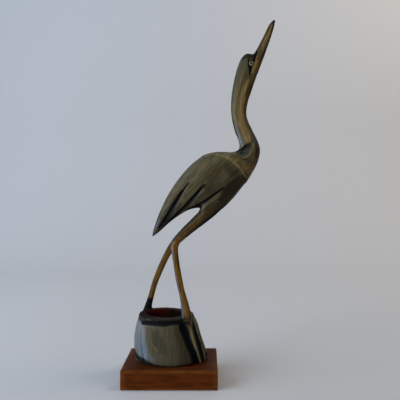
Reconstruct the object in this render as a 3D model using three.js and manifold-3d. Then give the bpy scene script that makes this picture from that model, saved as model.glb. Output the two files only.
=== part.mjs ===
// Carved horn crane: a bird with its neck stretched and its beak pointing up, standing on a hollow
// rock, all carved from one piece of horn, with two inlaid eyes and a wooden plinth.
// Millimetres, +Z up. The bird faces +X, its right side is towards -Y, and the origin is the middle
// of the plinth's underside.
import * as THREE from 'three';
import { mergeVertices } from 'three/addons/utils/BufferGeometryUtils.js';
import Module from 'manifold-3d';

const wasm = await Module();
wasm.setup();

// The plinth is a plain block with eased edges.
const PLINTH = { length: 70, width: 44, height: 14, eased: 0.7 };

// Stations down the bird from the tip of the beak to the knees. Each gives the back and the front
// point of the outline as [x, z], and half the thickness from side to side.
const BIRD = [
  { back: [78.5, 274.5], front: [79.9, 273.5], half: 0.6 },
  { back: [75.3, 271.0], front: [78.8, 268.7], half: 1.2 },
  { back: [70.8, 262.0], front: [75.6, 258.4], half: 2.1 },
  { back: [65.2, 251.3], front: [71.9, 248.0], half: 3.0 },
  { back: [62.4, 247.4], front: [70.1, 243.2], half: 3.7 },
  { back: [57.6, 247.8], front: [68.2, 238.2], half: 4.6 },
  { back: [54.0, 245.0], front: [66.4, 233.5], half: 5.1 },
  { back: [50.7, 237.8], front: [64.1, 227.6], half: 5.1 },
  { back: [47.7, 226.2], front: [61.6, 219.8], half: 4.9 },
  { back: [45.8, 212.5], front: [58.3, 209.6], half: 4.8 },
  { back: [46.0, 200.0], front: [57.6, 200.4], half: 4.9 },
  { back: [48.8, 187.8], front: [62.1, 188.9], half: 5.6 },
  { back: [51.8, 180.0], front: [66.0, 181.0], half: 6.9 },
  { back: [51.6, 174.6], front: [67.9, 173.8], half: 8.5 },
  { back: [46.5, 172.3], front: [66.4, 165.8], half: 10.3 },
  { back: [38.5, 172.7], front: [63.7, 159.7], half: 11.2 },
  { back: [31.0, 172.0], front: [59.4, 152.2], half: 11.7 },
  { back: [23.2, 168.9], front: [53.5, 144.8], half: 11.7 },
  { back: [17.5, 161.0], front: [47.7, 137.5], half: 11.3 },
  { back: [16.5, 149.0], front: [42.0, 131.4], half: 10.6 },
  { back: [18.5, 138.0], front: [37.4, 127.2], half: 9.8 },
  { back: [21.9, 129.4], front: [32.4, 122.8], half: 9.1 },
  { back: [15.8, 121.8], front: [25.2, 117.2], half: 8.1 },
  { back: [8.4, 114.6], front: [17.2, 111.2], half: 7.0 },
  { back: [2.6, 108.0], front: [10.9, 106.1], half: 6.2 },
  { back: [-0.4, 104.4], front: [7.5, 103.2], half: 5.6 },
];
const BIRD_KEEL = 0.25;

// Stations down the folded wings, from in front of the shoulder to the tip of the tail.
const WINGS = [
  { back: [45.0, 172.6], front: [60.0, 158.0], half: 11.8 },
  { back: [36.0, 172.8], front: [57.6, 151.6], half: 12.7 },
  { back: [26.4, 170.7], front: [51.0, 144.6], half: 13.0 },
  { back: [17.8, 165.2], front: [42.6, 138.4], half: 12.8 },
  { back: [10.2, 157.8], front: [33.0, 132.8], half: 12.0 },
  { back: [3.2, 148.8], front: [23.2, 130.3], half: 10.6 },
  { back: [-3.2, 138.8], front: [13.4, 128.2], half: 8.8 },
  { back: [-8.0, 128.9], front: [4.6, 123.2], half: 6.8 },
  { back: [-11.4, 120.2], front: [-2.4, 117.8], half: 4.8 },
  { back: [-13.6, 113.6], front: [-8.6, 112.0], half: 2.8 },
  { back: [-14.9, 108.2], front: [-14.2, 107.6], half: 0.8 },
];
const WING_KEEL = 0.22;

// The raised leading edge of the folded wings, from the back over the shoulder to the breast.
const SHOULDER = [
  [21.0, 176.0], [24.0, 169.2], [31.0, 170.8], [38.0, 169.4],
  [45.5, 165.4], [51.5, 160.4], [56.0, 154.6], [58.0, 147.0],
];

// Cuts between the long feathers, from the upper end of each down to the edge of the wing. Each line
// is the steep side of its cut, and the floor rises from it towards the breast over the widths.
const FEATHER_CUTS = [
  {
    line: [[13.2, 148.2], [7.2, 141.0], [2.2, 133.4], [-3.9, 124.0], [-9.8, 114.8], [-14.6, 106.4]],
    widths: [0.4, 2.4, 3.6, 5.4, 4.4, 2.6],
  },
  {
    line: [[25.4, 147.0], [19.5, 141.7], [13.7, 135.4], [8.4, 130.0], [2.2, 123.8], [-4.6, 117.0]],
    widths: [0.4, 2.6, 4.2, 4.8, 4.4, 3.4],
  },
  {
    line: [[39.0, 144.8], [32.2, 140.2], [26.4, 136.2], [20.4, 132.6], [14.0, 129.6]],
    widths: [0.4, 1.8, 3.0, 3.8, 3.6],
  },
];
const FEATHER_DEPTH = 2.4;
const TAIL_WEB = 1.8;

// A hollow cut round the back of the neck where it rises from the shoulders.
const NECK_HOLLOW = {
  line: [[49.0, 172.2], [52.8, 171.4], [56.6, 173.0], [59.6, 176.6], [61.0, 181.0]],
  widths: [2.0, 5.2, 5.6, 4.4, 1.0],
  depths: [0.6, 2.0, 2.0, 1.4, 0.3],
  lean: 0.6,
};

// A tapering hollow from the root of the beak past the eye and down the cheek.
const CHEEK_HOLLOW = {
  line: [[64.8, 246.6], [62.2, 241.6], [60.6, 236.6], [59.4, 230.6]],
  widths: [1.4, 4.0, 2.8, 0.6],
  depths: [0.4, 0.8, 0.7, 0.2],
  lean: 0,
};

// The gap between the two thighs shows as a groove, underneath and behind.
const THIGH_GROOVES = [
  { line: [[46.6, 136.9], [38.0, 128.4], [27.6, 119.9], [15.6, 111.2], [6.2, 102.4]], out: [0.65, -0.76] },
  { line: [[21.2, 128.4], [15.8, 122.0], [8.4, 114.8], [2.6, 108.2], [-1.4, 102.8]], out: [-0.76, 0.65] },
];
const THIGH_GROOVE = { widths: [0.8, 2.4, 2.8, 3.0, 3.0], depths: [0.4, 1.6, 2.2, 2.8, 4.0] };

// The legs part at the knees and straddle the rock, and the right one runs down its side as a ridge.
// Stations give the middle as [x, y, z], half the width seen from the side and half the thickness
// from side to side.
const RIGHT_LEG = [
  { at: [8.4, -3.2, 109.6], wide: 2.8, thick: 2.4 },
  { at: [3.5, -3.3, 103.6], wide: 3.0, thick: 2.5 },
  { at: [2.6, -3.6, 99.8], wide: 2.8, thick: 2.5 },
  { at: [3.1, -3.9, 94.6], wide: 2.5, thick: 2.3 },
  { at: [4.4, -4.6, 85.5], wide: 2.4, thick: 2.2 },
  { at: [6.0, -5.6, 76.6], wide: 2.5, thick: 2.2 },
  { at: [8.0, -6.8, 67.9], wide: 2.4, thick: 2.4 },
  { at: [10.3, -8.3, 59.3], wide: 2.8, thick: 2.7 },
  { at: [11.7, -9.7, 51.5], wide: 3.6, thick: 3.2 },
  { at: [13.0, -9.9, 46.8], wide: 3.2, thick: 2.9 },
  { at: [14.6, -9.2, 42.4], wide: 1.7, thick: 2.1 },
  { at: [15.6, -8.6, 38.0], wide: 1.4, thick: 1.7 },
  { at: [18.2, -8.7, 29.0], wide: 1.2, thick: 1.5 },
  { at: [22.3, -8.5, 14.5], wide: 1.0, thick: 1.4 },
];
const LEFT_LEG = [
  { at: [8.0, 3.2, 109.4], wide: 2.8, thick: 2.4 },
  { at: [2.8, 3.2, 103.2], wide: 2.9, thick: 2.5 },
  { at: [-0.7, 3.3, 98.6], wide: 2.7, thick: 2.5 },
  { at: [-3.7, 3.5, 93.4], wide: 2.5, thick: 2.4 },
  { at: [-6.2, 3.9, 88.5], wide: 2.4, thick: 2.3 },
  { at: [-10.4, 4.9, 79.1], wide: 2.3, thick: 2.2 },
  { at: [-14.2, 6.4, 69.0], wide: 2.2, thick: 2.2 },
  { at: [-16.8, 7.6, 59.8], wide: 2.2, thick: 2.3 },
  { at: [-18.7, 8.5, 53.6], wide: 2.6, thick: 2.7 },
  { at: [-20.4, 9.1, 46.0], wide: 3.8, thick: 3.2 },
];

// The rock is the open end of the horn: an oval tube that narrows upwards and leans back a little.
// Levels give the height, the middle along X and the half length and half width of the outside.
const ROCK = [
  { z: 14.0, middle: 0.4, long: 27.6, wide: 16.0 },
  { z: 17.5, middle: -0.2, long: 27.9, wide: 16.0 },
  { z: 23.0, middle: -1.4, long: 27.2, wide: 15.8 },
  { z: 28.5, middle: -2.4, long: 26.3, wide: 15.4 },
  { z: 34.0, middle: -3.1, long: 25.2, wide: 14.9 },
  { z: 40.0, middle: -3.3, long: 23.8, wide: 14.2 },
  { z: 44.4, middle: -3.6, long: 22.4, wide: 13.7 },
  { z: 47.4, middle: -4.0, long: 20.8, wide: 13.0 },
];
const ROCK_SQUARENESS = 1.9;

// The horn's own hollow, which lies a little towards the back.
const ROCK_WALL = 4.6;
const HOLLOW_BACK = 1.2;

// The rim climbs from the front of the rock to its back, and a little more at the bird's left foot.
const RIM = { climb: 2.4, foot: 1.2 };

// Grooves down the outside of the rock: the angle round the oval from +X, in degrees, and the width,
// both at the top and at the foot, the highest point and the depth.
const ROCK_GROOVES = [
  { angles: [-55, -44], widths: [7.8, 6.2], highest: 45.4, depth: 2.6 },
  { angles: [-30, -32], widths: [3.0, 4.2], highest: 45.0, depth: 2.2 },
  { angles: [-7, -14], widths: [3.0, 3.6], highest: 43.0, depth: 2.0 },
  { angles: [-142, -135], widths: [2.2, 2.6], highest: 43.0, depth: 1.0 },
  { angles: [30, 34], widths: [3.6, 3.6], highest: 45.0, depth: 2.0 },
  { angles: [58, 54], widths: [3.6, 3.6], highest: 43.0, depth: 1.8 },
  { angles: [104, 98], widths: [3.0, 3.0], highest: 42.0, depth: 1.2 },
  { angles: [150, 146], widths: [3.0, 3.0], highest: 43.0, depth: 1.4 },
];

// The hollow that runs round the front of the rock under its rim.
const RIM_HOLLOW = { from: -148, to: -46, height: 44.6, width: 4.2, depth: 1.5, lean: -0.4 };

// Each eye is a low domed disc set into a round seat.
const EYE = { at: [60.7, 239.1], radius: 1.65, bevel: 0.35, sunk: 1.5, proud: 0.35, gap: 0.15 };

// How square the sections of the bird and of its legs are, from 2 for an ellipse upwards.
const BIRD_SQUARENESS = 2.2;
const LEG_SQUARENESS = 3;

const SECTION_SIDES = 20;
const LEG_SIDES = 10;
const ROCK_SIDES = 44;
const EYE_SIDES = 20;
const CLEAR = 3;

const HORN = { color: 0x4a4535, roughness: 0.3, metalness: 0 };
const HARDWOOD = { color: 0x7a3a22, roughness: 0.5, metalness: 0 };
const INLAY = { color: 0xcfc3a2, roughness: 0.35, metalness: 0 };

// A closed solid through rings of points that all have the same count, with its ends closed.
function loft(rings) {
  const count = rings[0].length;
  const faces = [];
  for (let ring = 0; ring + 1 < rings.length; ring += 1) {
    for (let k = 0; k < count; k += 1) {
      const here = ring * count + k;
      const next = ring * count + ((k + 1) % count);
      faces.push(here, next, next + count, here, next + count, here + count);
    }
  }
  const last = (rings.length - 1) * count;
  for (let k = 1; k + 1 < count; k += 1) {
    faces.push(0, k + 1, k, last, last + k, last + k + 1);
  }
  const geometry = new THREE.BufferGeometry().setFromPoints(rings.flat());
  geometry.setIndex(faces);
  return geometry;
}

function signedVolume(positions, index) {
  const [a, b, c] = [new THREE.Vector3(), new THREE.Vector3(), new THREE.Vector3()];
  let volume = 0;
  for (let k = 0; k < index.length; k += 3) {
    a.fromArray(positions, index[k] * 3);
    b.fromArray(positions, index[k + 1] * 3);
    c.fromArray(positions, index[k + 2] * 3);
    volume += a.dot(b.cross(c)) / 6;
  }
  return volume;
}

function solid(geometry) {
  const bare = geometry.clone();
  bare.deleteAttribute('normal');
  bare.deleteAttribute('uv');
  const merged = mergeVertices(bare, 1e-4);
  const vertProperties = new Float32Array(merged.attributes.position.array);
  const triVerts = new Uint32Array(merged.index.array);
  if (signedVolume(vertProperties, triVerts) < 0) triVerts.reverse();
  return new wasm.Manifold(new wasm.Mesh({ numProp: 3, vertProperties, triVerts }));
}

function surface(shape) {
  const { vertProperties, triVerts } = shape.getMesh();
  const geometry = new THREE.BufferGeometry();
  geometry.setAttribute('position', new THREE.BufferAttribute(vertProperties, 3));
  geometry.setIndex(new THREE.BufferAttribute(triVerts, 1));
  geometry.computeVertexNormals();
  return geometry;
}

// A smooth curve through lists of three numbers, as evenly spaced steps between the stations.
function smoothRun(stations, stepsPerStation) {
  const curve = new THREE.CatmullRomCurve3(stations.map((numbers) => new THREE.Vector3(...numbers)));
  const steps = (stations.length - 1) * stepsPerStation;
  return Array.from({ length: steps + 1 }, (_, k) => curve.getPoint(k / steps));
}

// A point of a rounded section, from -1 to 1 along its length and across its width.
function sectionPoint(turn, squareness) {
  const power = (value) => Math.sign(value) * Math.abs(value) ** (2 / squareness);
  return { along: power(Math.cos(turn)), across: power(Math.sin(turn)) };
}

// Rings between the back and the front of an outline, which keel narrows towards the front.
function outlineRings(stations, keel) {
  const back = smoothRun(stations.map((s) => [s.back[0], s.half, s.back[1]]), 2);
  const front = smoothRun(stations.map((s) => [s.front[0], s.half, s.front[1]]), 2);
  return back.map((rear, ring) => Array.from({ length: SECTION_SIDES }, (_, k) => {
    const { along, across } = sectionPoint((2 * Math.PI * k) / SECTION_SIDES, BIRD_SQUARENESS);
    const forward = (1 + along) / 2;
    const point = rear.clone().lerp(front[ring], forward);
    return point.setY(rear.y * across * (1 - keel * forward));
  }));
}

function legRings(stations) {
  const middle = smoothRun(stations.map((s) => s.at), 2);
  const sizes = smoothRun(stations.map((s) => [s.wide, s.thick, 0]), 2);
  return middle.map((centre, ring) => {
    const before = middle[Math.max(ring - 1, 0)];
    const after = middle[Math.min(ring + 1, middle.length - 1)];
    const forwards = after.clone().sub(before).setY(0).normalize();
    return Array.from({ length: LEG_SIDES }, (_, k) => {
      const { along, across } = sectionPoint((2 * Math.PI * (k + 0.5)) / LEG_SIDES, LEG_SQUARENESS);
      const point = centre.clone();
      point.x += forwards.z * sizes[ring].x * along;
      point.y += sizes[ring].y * across;
      point.z -= forwards.x * sizes[ring].x * along;
      return point;
    });
  });
}

// The cutter of a V-shaped groove along places on a skin, each with its point, the way out of the
// skin there, a width and a depth. Lean moves the bottom of the V sideways, from -1 to 1.
function grooveCutter(places, lean) {
  return solid(loft(places.map((place, k) => {
    const before = places[Math.max(k - 1, 0)].at;
    const after = places[Math.min(k + 1, places.length - 1)].at;
    const sideways = after.clone().sub(before).cross(place.out).normalize();
    const reach = place.width / 2;
    return [[lean * reach, -place.depth], [reach, 0], [reach, CLEAR], [-reach, CLEAR], [-reach, 0]].map(
      ([aside, lift]) => place.at.clone().addScaledVector(sideways, aside).addScaledVector(place.out, lift),
    );
  })));
}

// How far the skin of a shape stands from the middle plane at [x, z], or nought beside the shape.
function makeSkin(shape) {
  const mesh = new THREE.Mesh(surface(shape), new THREE.MeshBasicMaterial());
  const caster = new THREE.Raycaster();
  const start = new THREE.Vector3();
  const inwards = new THREE.Vector3(0, 1, 0);
  return (x, z) => {
    caster.set(start.set(x, -PLINTH.length, z), inwards);
    const [hit] = caster.intersectObject(mesh);
    return hit ? Math.abs(hit.point.y) : 0;
  };
}

function featherCutter({ line, widths }, skin, side) {
  const run = smoothRun(line.map(([x, z], k) => [x, widths[k], z]), 2);
  return solid(loft(run.map((spot, k) => {
    const before = run[Math.max(k - 1, 0)];
    const after = run[Math.min(k + 1, run.length - 1)];
    const forwards = after.clone().sub(before).setY(0).normalize();
    const far = { x: spot.x - forwards.z * spot.y, z: spot.z + forwards.x * spot.y };
    const steep = skin(spot.x, spot.z);
    const floor = Math.max(TAIL_WEB, steep - FEATHER_DEPTH);
    const farSkin = Math.max(skin(far.x, far.z), TAIL_WEB);
    const top = Math.max(steep, farSkin) + CLEAR;
    return [[spot, top], [spot, floor], [far, farSkin], [far, top]].map(
      ([point, height]) => new THREE.Vector3(point.x, side * height, point.z),
    );
  })));
}

// A groove in the flank of the bird, on one side.
function flankGroove({ line, widths, depths, lean }, skin, side) {
  const course = smoothRun(line.map(([x, z]) => [x, 0, z]), 2);
  const sizes = smoothRun(widths.map((width, k) => [width, depths[k], 0]), 2);
  return grooveCutter(course.map((spot, k) => ({
    at: new THREE.Vector3(spot.x, side * skin(spot.x, spot.z), spot.z),
    out: new THREE.Vector3(0, side, 0),
    width: sizes[k].x,
    depth: sizes[k].y,
  })), side * lean);
}

function thighGroove({ line, out }) {
  const course = smoothRun(line.map(([x, z]) => [x, 0, z]), 2);
  const sizes = smoothRun(THIGH_GROOVE.widths.map((width, k) => [width, THIGH_GROOVE.depths[k], 0]), 2);
  const away = new THREE.Vector3(out[0], 0, out[1]).normalize();
  return grooveCutter(course.map((at, k) => ({ at, out: away, width: sizes[k].x, depth: sizes[k].y })), 0);
}

function rockRing(level, inset, climb) {
  return Array.from({ length: ROCK_SIDES }, (_, k) => {
    const { along, across } = sectionPoint((2 * Math.PI * k) / ROCK_SIDES, ROCK_SQUARENESS);
    const towardsBack = (1 + across) / 2;
    const towardsFoot = Math.max(0, -along) * towardsBack;
    return new THREE.Vector3(
      level.middle + (level.long - inset) * along,
      (level.wide - inset) * across,
      level.z + climb * (RIM.climb * towardsBack + RIM.foot * towardsFoot),
    );
  });
}

function rockSolid() {
  return solid(loft(ROCK.map((level, k) => rockRing(level, 0, k === ROCK.length - 1 ? 1 : 0))));
}

function rockHollow() {
  const [foot] = ROCK;
  const top = ROCK[ROCK.length - 1];
  const levels = [{ ...foot, z: foot.z - CLEAR }, ...ROCK, { ...top, z: top.z + 3 * CLEAR }];
  const hollow = loft(levels.map((level) => rockRing(level, ROCK_WALL, 0)));
  return solid(hollow.translate(0, HOLLOW_BACK, 0));
}

// A place on the outside of the rock, at an angle round the oval and a height.
function rockPlace(angle, height, width, depth) {
  const upper = ROCK.findIndex((level, k) => k > 0 && level.z >= height);
  const [below, above] = [ROCK[upper - 1], ROCK[upper]];
  const share = (height - below.z) / (above.z - below.z);
  const blend = (name) => THREE.MathUtils.lerp(below[name], above[name], share);
  const { along, across } = sectionPoint(THREE.MathUtils.degToRad(angle), ROCK_SQUARENESS);
  return {
    at: new THREE.Vector3(blend('middle') + blend('long') * along, blend('wide') * across, height),
    out: new THREE.Vector3(along / blend('long'), across / blend('wide'), 0).normalize(),
    width,
    depth,
  };
}

function rockGroove({ angles, widths, highest, depth }) {
  const steps = 6;
  const places = Array.from({ length: steps + 1 }, (_, k) => {
    const share = 1 - k / steps;
    const swell = Math.min(1, 0.2 + 5 * share);
    const height = THREE.MathUtils.lerp(highest, ROCK[0].z, share);
    const width = THREE.MathUtils.lerp(...widths, share);
    return rockPlace(THREE.MathUtils.lerp(...angles, share), height, width * swell, depth * swell);
  });
  places[0].at.z -= CLEAR;
  return grooveCutter(places, 0);
}

function rimHollow() {
  const steps = 14;
  return grooveCutter(Array.from({ length: steps + 1 }, (_, k) => {
    const swell = Math.max(0.12, Math.sin((Math.PI * k) / steps) ** 0.4);
    const angle = THREE.MathUtils.lerp(RIM_HOLLOW.from, RIM_HOLLOW.to, k / steps);
    return rockPlace(angle, RIM_HOLLOW.height, RIM_HOLLOW.width * swell, RIM_HOLLOW.depth * swell);
  }), RIM_HOLLOW.lean);
}

// The half space behind the shoulder line, as deep as the bird is thick.
function wingField() {
  const halfDepth = 20;
  const [first] = SHOULDER;
  const outline = new THREE.Shape();
  outline.moveTo(-halfDepth, 100);
  outline.lineTo(-halfDepth, first[1]);
  outline.lineTo(...first);
  outline.splineThru(SHOULDER.slice(1).map(([x, z]) => new THREE.Vector2(x, z)));
  outline.lineTo(50, 100);
  outline.closePath();
  const field = new THREE.ExtrudeGeometry(outline, {
    depth: 2 * halfDepth,
    bevelEnabled: false,
    curveSegments: 14,
  });
  return solid(field.rotateX(Math.PI / 2).translate(0, halfDepth, 0));
}

function discProfile(radius, from, to, bevel) {
  return [[0, from], [radius, from], [radius, to - bevel], [radius - bevel, to], [0, to + bevel / 2]].map(
    ([x, y]) => new THREE.Vector2(x, y),
  );
}

// A round shape about the eye's axis, which points out of the head on the given side.
function roundAtEye(profile, skin, side) {
  const [x, z] = EYE.at;
  const shape = new THREE.LatheGeometry(profile, EYE_SIDES);
  return shape.rotateX(side < 0 ? Math.PI : 0).translate(x, side * skin(x, z), z);
}

function eyeSeat(skin, side) {
  return solid(roundAtEye(discProfile(EYE.radius + EYE.gap, -EYE.sunk - EYE.gap, CLEAR, 0.1), skin, side));
}

function eyeDisc(skin, side) {
  return surface(solid(roundAtEye(discProfile(EYE.radius, -EYE.sunk, EYE.proud, EYE.bevel), skin, side)));
}

function hornCrane(body, skin) {
  const flankCuts = [-1, 1].flatMap((side) => [
    ...FEATHER_CUTS.map((cut) => featherCutter(cut, skin, side)),
    flankGroove(NECK_HOLLOW, skin, side),
    flankGroove(CHEEK_HOLLOW, skin, side),
    eyeSeat(skin, side),
  ]);
  const cuts = [...flankCuts, ...THIGH_GROOVES.map(thighGroove)];
  const bird = cuts.reduce((left, cut) => left.subtract(cut), body);
  const carvedRock = [...ROCK_GROOVES.map(rockGroove), rimHollow()].reduce(
    (left, cut) => left.subtract(cut),
    rockSolid(),
  );
  const legs = [RIGHT_LEG, LEFT_LEG].map((stations) => solid(loft(legRings(stations))));
  const stand = legs.reduce((sum, leg) => sum.add(leg), carvedRock).subtract(rockHollow());
  return bird.add(stand);
}

function plinthBlock() {
  const halfLength = PLINTH.length / 2 - PLINTH.eased;
  const halfWidth = PLINTH.width / 2 - PLINTH.eased;
  const board = new THREE.Shape();
  board.moveTo(-halfLength, -halfWidth);
  board.lineTo(halfLength, -halfWidth);
  board.lineTo(halfLength, halfWidth);
  board.lineTo(-halfLength, halfWidth);
  board.closePath();
  const block = new THREE.ExtrudeGeometry(board, {
    depth: PLINTH.height - 2 * PLINTH.eased,
    bevelThickness: PLINTH.eased,
    bevelSize: PLINTH.eased,
    bevelSegments: 2,
  });
  return block.translate(0, 0, PLINTH.eased);
}

function part(name, geometry, finish) {
  const mesh = new THREE.Mesh(geometry, new THREE.MeshStandardMaterial(finish));
  mesh.name = name;
  return mesh;
}

const wings = solid(loft(outlineRings(WINGS, WING_KEEL))).intersect(wingField());
const body = solid(loft(outlineRings(BIRD, BIRD_KEEL))).add(wings);
const skin = makeSkin(body);

const crane = new THREE.Group();
crane.add(part('horn_crane', surface(hornCrane(body, skin)), HORN));
crane.add(part('eye_right', eyeDisc(skin, -1), INLAY));
crane.add(part('eye_left', eyeDisc(skin, 1), INLAY));
crane.add(part('plinth', plinthBlock(), HARDWOOD));

export default crane;
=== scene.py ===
import math
from collections import namedtuple

import bmesh
import bpy
import numpy as np
from mathutils import Matrix, Vector, noise
from mathutils.bvhtree import BVHTree


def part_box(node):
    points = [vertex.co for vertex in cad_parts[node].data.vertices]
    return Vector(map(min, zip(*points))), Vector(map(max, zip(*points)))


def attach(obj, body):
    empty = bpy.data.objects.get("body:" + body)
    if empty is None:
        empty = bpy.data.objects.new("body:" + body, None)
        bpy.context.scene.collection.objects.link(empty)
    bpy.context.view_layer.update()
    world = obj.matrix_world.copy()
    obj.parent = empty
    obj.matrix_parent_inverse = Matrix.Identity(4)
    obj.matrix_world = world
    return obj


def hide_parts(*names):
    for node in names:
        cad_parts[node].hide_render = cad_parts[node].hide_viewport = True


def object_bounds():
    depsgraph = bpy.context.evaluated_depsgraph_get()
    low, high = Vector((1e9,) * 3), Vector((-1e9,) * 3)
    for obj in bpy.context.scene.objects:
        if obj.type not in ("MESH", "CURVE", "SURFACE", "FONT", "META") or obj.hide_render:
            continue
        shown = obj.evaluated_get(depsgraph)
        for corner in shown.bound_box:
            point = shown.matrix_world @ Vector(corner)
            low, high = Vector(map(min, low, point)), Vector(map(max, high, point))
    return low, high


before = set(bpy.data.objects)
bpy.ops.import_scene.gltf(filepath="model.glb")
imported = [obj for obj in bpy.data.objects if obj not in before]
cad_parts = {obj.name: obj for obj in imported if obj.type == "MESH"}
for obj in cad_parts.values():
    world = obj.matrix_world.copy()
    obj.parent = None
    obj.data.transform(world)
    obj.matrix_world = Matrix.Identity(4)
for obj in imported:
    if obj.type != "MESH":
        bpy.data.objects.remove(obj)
cad_low, cad_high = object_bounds()

MM = 0.001

# Stations down the bird from the tip of the beak to the knees: the back and the front point of the
# outline as x and z, and half the thickness from side to side.
BIRD = [
    (78.5, 274.5, 79.9, 273.5, 0.6),
    (75.3, 271, 78.8, 268.7, 1.2),
    (70.8, 262, 75.6, 258.4, 2.1),
    (65.2, 251.3, 71.9, 248, 3),
    (62.4, 247.4, 70.1, 243.2, 3.7),
    (57.6, 247.8, 68.2, 238.2, 4.6),
    (54, 245, 66.4, 233.5, 5.1),
    (50.7, 237.8, 64.1, 227.6, 5.1),
    (47.7, 226.2, 61.6, 219.8, 4.9),
    (45.8, 212.5, 58.3, 209.6, 4.8),
    (46, 200, 57.6, 200.4, 4.9),
    (48.8, 187.8, 62.1, 188.9, 5.6),
    (51.8, 180, 66, 181, 6.9),
    (51.6, 174.6, 67.9, 173.8, 8.5),
    (46.5, 172.3, 66.4, 165.8, 10.3),
    (38.5, 172.7, 63.7, 159.7, 11.2),
    (31, 172, 59.4, 152.2, 11.7),
    (23.2, 168.9, 53.5, 144.8, 11.7),
    (17.5, 161, 47.7, 137.5, 11.3),
    (16.5, 149, 42, 131.4, 10.6),
    (18.5, 138, 37.4, 127.2, 9.8),
    (21.9, 129.4, 32.4, 122.8, 9.1),
    (15.8, 121.8, 25.2, 117.2, 8.1),
    (8.4, 114.6, 17.2, 111.2, 7),
    (2.6, 108, 10.9, 106.1, 6.2),
    (-0.4, 104.4, 7.5, 103.2, 5.6),
]
BIRD_KEEL = 0.25

# Stations down the folded wings, from in front of the shoulder to the tip of the tail.
WINGS = [
    (45, 172.6, 60, 158, 11.8),
    (36, 172.8, 57.6, 151.6, 12.7),
    (26.4, 170.7, 51, 144.6, 13),
    (17.8, 165.2, 42.6, 138.4, 12.8),
    (10.2, 157.8, 33, 132.8, 12),
    (3.2, 148.8, 23.2, 130.3, 10.6),
    (-3.2, 138.8, 13.4, 128.2, 8.8),
    (-8, 128.9, 4.6, 123.2, 6.8),
    (-11.4, 120.2, -2.4, 117.8, 4.8),
    (-13.6, 113.6, -8.6, 112, 2.8),
    (-14.9, 108.2, -14.2, 107.6, 0.8),
]
WING_KEEL = 0.22

# The raised leading edge of the folded wings, from the back over the shoulder to the breast.
SHOULDER = [
    (21, 176), (24, 169.2), (31, 170.8), (38, 169.4),
    (45.5, 165.4), (51.5, 160.4), (56, 154.6), (58, 147),
]
SHOULDER_CREST = 0.35

# Cuts between the long feathers, from the upper end of each to the edge of the wing: x and z of the
# steep side, and the width over which the floor rises from it towards the breast.
FEATHER_CUTS = [
    [(13.2, 148.2, 0.4), (7.2, 141, 2.4), (2.2, 133.4, 3.6), (-3.9, 124, 5.4), (-9.8, 114.8, 4.4),
     (-14.6, 106.4, 2.6)],
    [(25.4, 147, 0.4), (19.5, 141.7, 2.6), (13.7, 135.4, 4.2), (8.4, 130, 4.8), (2.2, 123.8, 4.4),
     (-4.6, 117, 3.4)],
    [(39, 144.8, 0.4), (32.2, 140.2, 1.8), (26.4, 136.2, 3), (20.4, 132.6, 3.8), (14, 129.6, 3.6)],
]

# How deep the cuts are, the share of it left halfway across, and the least half thickness they leave.
FEATHER_DEPTH = 2.4
FEATHER_SAG = 0.62
TAIL_WEB = 1.8

# Hollows in the flank: x, z, width and depth at each place along them, and how far the bottom leans.
NECK_HOLLOW = [(49, 172.2, 2, 0.6), (52.8, 171.4, 5.2, 2), (56.6, 173, 5.6, 2), (59.6, 176.6, 4.4, 1.4),
               (61, 181, 1, 0.3)]
CHEEK_HOLLOW = [(64.8, 246.6, 1.4, 0.4), (62.2, 241.6, 4, 0.8), (60.6, 236.6, 2.8, 0.7),
                (59.4, 230.6, 0.6, 0.2)]
NECK_LEAN = 0.6

# The gap between the two thighs shows as a groove, underneath and behind: its line and its way out.
THIGH_GROOVES = [
    (
        [(46.6, 136.9, 0.8, 0.4), (38, 128.4, 2.4, 1.6), (27.6, 119.9, 2.8, 2.2), (15.6, 111.2, 3, 2.8),
         (6.2, 102.4, 3, 4)],
        (0.65, 0, -0.76),
    ),
    (
        [(21.2, 128.4, 0.8, 0.4), (15.8, 122, 2.4, 1.6), (8.4, 114.8, 2.8, 2.2), (2.6, 108.2, 3, 2.8),
         (-1.4, 102.8, 3, 4)],
        (-0.76, 0, 0.65),
    ),
]

# The legs part at the knees and straddle the rock, and the right one runs down its side as a ridge: the
# middle as x, y and z, half the width seen from the side and half the thickness from side to side.
RIGHT_LEG = [
    (8.4, -3.2, 109.6, 2.8, 2.4), (3.5, -3.3, 103.6, 3, 2.5), (2.6, -3.6, 99.8, 2.8, 2.5),
    (3.1, -3.9, 94.6, 2.5, 2.3), (4.4, -4.6, 85.5, 2.4, 2.2), (6, -5.6, 76.6, 2.5, 2.2),
    (8, -6.8, 67.9, 2.4, 2.4), (10.3, -8.3, 59.3, 2.8, 2.7), (11.7, -9.7, 51.5, 3.6, 3.2),
    (13, -9.9, 46.8, 3.2, 2.9), (14.6, -9.2, 42.4, 1.7, 2.1), (15.6, -8.6, 38, 1.4, 1.7),
    (16.8, -8.6, 33.2, 1.3, 1.6), (18.2, -8.7, 29, 1.2, 1.5), (19.8, -8.8, 23.6, 1.1, 1.5),
    (21.3, -8.8, 18.2, 1, 1.5), (22.3, -8.5, 14.5, 1, 1.4),
]
LEFT_LEG = [
    (8, 3.2, 109.4, 2.8, 2.4), (2.8, 3.2, 103.2, 2.9, 2.5), (-0.7, 3.3, 98.6, 2.7, 2.5),
    (-3.7, 3.5, 93.4, 2.5, 2.4), (-6.2, 3.9, 88.5, 2.4, 2.3), (-10.4, 4.9, 79.1, 2.3, 2.2),
    (-14.2, 6.4, 69, 2.2, 2.2), (-16.8, 7.6, 59.8, 2.2, 2.3), (-18.7, 8.5, 53.6, 2.6, 2.7),
    (-20.4, 9.1, 46, 3.8, 3.2),
]
LEG_BEVEL = 0.86

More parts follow.
